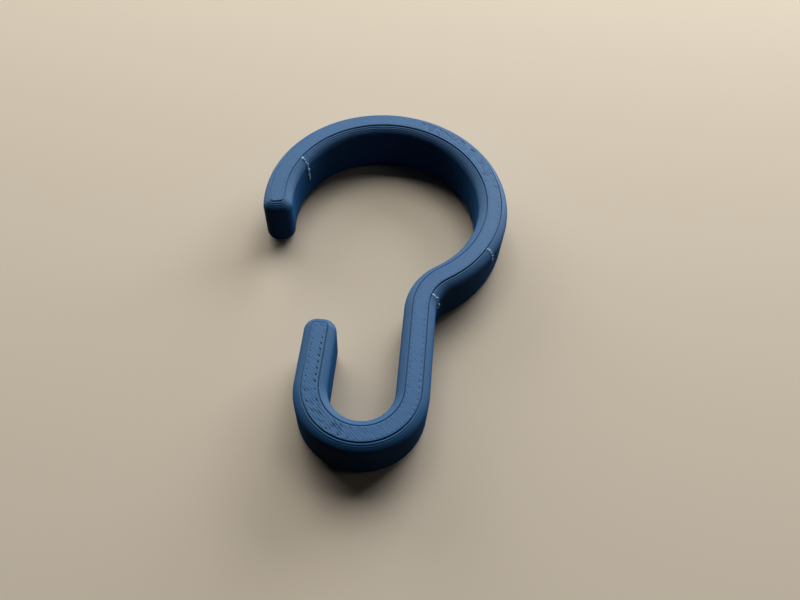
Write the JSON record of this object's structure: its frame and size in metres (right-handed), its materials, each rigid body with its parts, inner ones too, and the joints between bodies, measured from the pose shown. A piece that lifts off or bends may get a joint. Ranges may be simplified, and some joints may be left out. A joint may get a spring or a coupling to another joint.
{
  "type": "awning pole hook",
  "caption": "Printed open hook that snaps onto an awning pole, with a J-shaped hook below it for hanging things.",
  "frame": {"origin": "on the pole's axis, half way through the hook's thickness", "axes": "+Z along the pole; the shank runs along -Y from the grip to the lower hook; the lower hook opens towards +Y"},
  "size_m": [0.042, 0.0669, 0.01],
  "materials": {
    "printed_plastic": "satin, fine layer lines"
  },
  "bodies": {
    "root": {"hook": "printed_plastic"}
  },
  "joints": []
}
